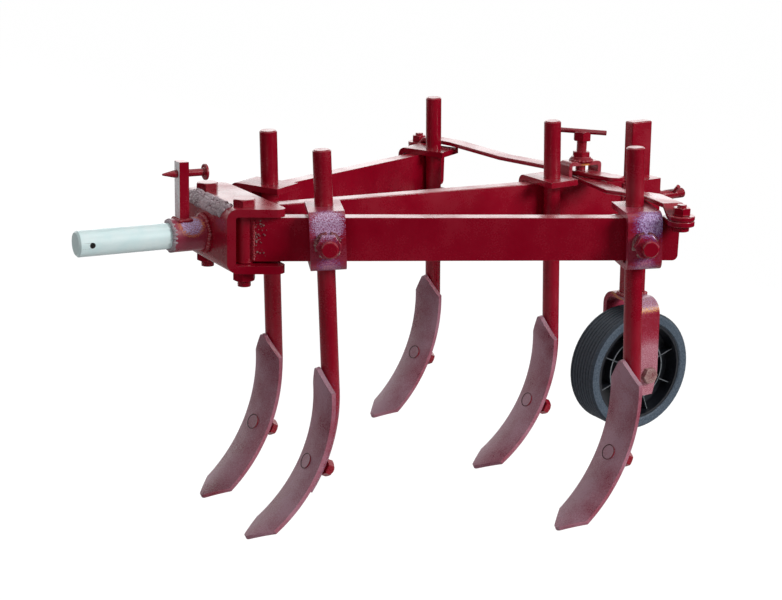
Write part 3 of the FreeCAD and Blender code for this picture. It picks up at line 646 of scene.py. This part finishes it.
# Set screws: round headed, chamfered, each with a short bare neck of
# thread between its head and the welded nut.
head_radius = 0.0092
screw_parts = ((screw_radius, screw_radius, 0.0299, 0.02405),
               (head_radius, head_radius, 0.0066, 0.0423),
               (head_radius, 0.0078, 0.0014, 0.0463))
for name, (side, station, hand) in places.items():
    bm = bmesh.new()
    turn = (clamps[name] @ Matrix.Translation((0, 0, -0.003))
            @ Matrix.Rotation(math.radians(90 * hand), 4, "X"))
    for foot_radius, top_radius, tall, height in screw_parts:
        bmesh.ops.create_cone(bm, segments=32, radius1=foot_radius, radius2=top_radius,
                              depth=tall, cap_ends=True,
                              matrix=turn @ Matrix.Translation((0, 0, height)))
    thread(bm, turn @ Matrix.Translation((0, 0, 0.0335)), screw_radius, 0.0056)
    screw = finished(name + "_round_set_screw", bm, crimson, body_of(name + "_clamp"))
    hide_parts(name + "_set_screw")


# Tyre: solid grooved rubber on the hub's rim, with rounded shoulders and a
# raised ring on each side wall.  Its tread is darker than its walls.
hub_centre = stand @ Vector((0, 0, -0.228))


def turned(profile):
    bm = bmesh.new()
    points = [bm.verts.new(Vector((0, y, r))) for y, r in profile]
    edges = [bm.edges.new(pair) for pair in zip(points, points[1:] + points[:1])]
    bmesh.ops.spin(bm, geom=points + edges, cent=(0, 0, 0), axis=(0, 1, 0), angle=math.tau,
                   steps=64, use_merge=True)
    bmesh.ops.recalc_face_normals(bm, faces=bm.faces)
    bmesh.ops.translate(bm, verts=bm.verts, vec=hub_centre)
    return bm


groove_pitch, tread_radius, groove_radius = 0.0056, 0.0776, 0.0768
rubber = plain("tread_rubber", (0.022, 0.040, 0.062), (0.09, 0.12, 0.16),
               scale=420, roughness=0.5, depth=0.0008)
dark_tread = plain("darker_tread", (0.004, 0.009, 0.016), (0.020, 0.032, 0.048),
                   scale=420, roughness=0.75, depth=0.0008)
grooves = []
for line in range(-3, 4):
    y = line * groove_pitch
    grooves += [(y - 0.0009, tread_radius), (y - 0.0004, groove_radius),
                (y + 0.0004, groove_radius), (y + 0.0009, tread_radius)]
wall = [(0.0205, 0.0778), (0.0236, 0.0752), (0.0243, 0.0722),
        (0.0238, 0.0702), (0.0240, 0.0655), (0.0225, 0.0641)]
profile = [(-y, r) for y, r in reversed(wall)] + grooves + wall
tyre = finished("grooved_tyre", turned(profile), rubber, "wheel")
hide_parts("wheel_tyre")
tyre.data.materials.append(dark_tread)
tread_from, wall_facing = 0.0755, 0.9
for face in tyre.data.polygons:
    if (face.center - hub_centre).length > tread_from and abs(face.normal.y) < wall_facing:
        face.material_index = 1

# Hub: moulded plastic, a rim and a long boss joined by a thin web, with
# eight radial ribs and one ring rib on each face.
plastic = plain("black_plastic", (0.004, 0.005, 0.008), (0.012, 0.014, 0.02),
                scale=300, roughness=0.35, depth=0.0003)
rib_edge = plain("pale_rib_face", (0.08, 0.09, 0.10), (0.22, 0.24, 0.26),
                 scale=300, roughness=0.35, depth=0.0003)
half_profile = [(0.031, 0.0065), (0.031, 0.0145), (0.003, 0.017),
                (0.004, 0.0585), (0.022, 0.0605), (0.022, 0.0638)]
hub_bm = turned([(-y, r) for y, r in reversed(half_profile)] + half_profile)
rib_count, rib_start = 8, 21
rib_middle, rib_long, rib_wide, rib_thick = 0.037, 0.047, 0.032, 0.0016
ribs = bmesh.new()
for step in range(rib_count):
    turn = Matrix.Rotation(math.radians(rib_start + 360 / rib_count * step), 4, "Y")
    bmesh.ops.create_cube(ribs, size=1, matrix=Matrix.Translation(hub_centre) @ turn
                          @ Matrix.Translation((rib_middle, 0, 0))
                          @ Matrix.Diagonal((rib_long, rib_wide, rib_thick, 1)))
bmesh.ops.bevel(ribs, geom=ribs.edges[:], offset=0.0004, offset_type="OFFSET", segments=1,
                profile=0.5, affect="EDGES", material=-1)
ring_radius, ring_half_wide, ring_half_thick = 0.041, 0.015, 0.0008
ring_inner, ring_outer = ring_radius - ring_half_thick, ring_radius + ring_half_thick
poured(ribs, turned([(-ring_half_wide, ring_inner), (ring_half_wide, ring_inner),
                     (ring_half_wide, ring_outer), (-ring_half_wide, ring_outer)]))
poured(hub_bm, ribs)
hub = finished("moulded_hub", hub_bm, plastic, "wheel")
# the sideways faces of the ribs and the ring rib, 14 to 17 mm out from the middle, are a paler
# grey
hub.data.materials.append(rib_edge)
rib_facing, ribs_from, ribs_to = 0.95, 0.014, 0.017
for face in hub.data.polygons:
    out_from_middle = abs(face.center.y - hub_centre.y)
    if abs(face.normal.y) > rib_facing and ribs_from < out_from_middle < ribs_to:
        face.material_index = 1
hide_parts("wheel_hub")
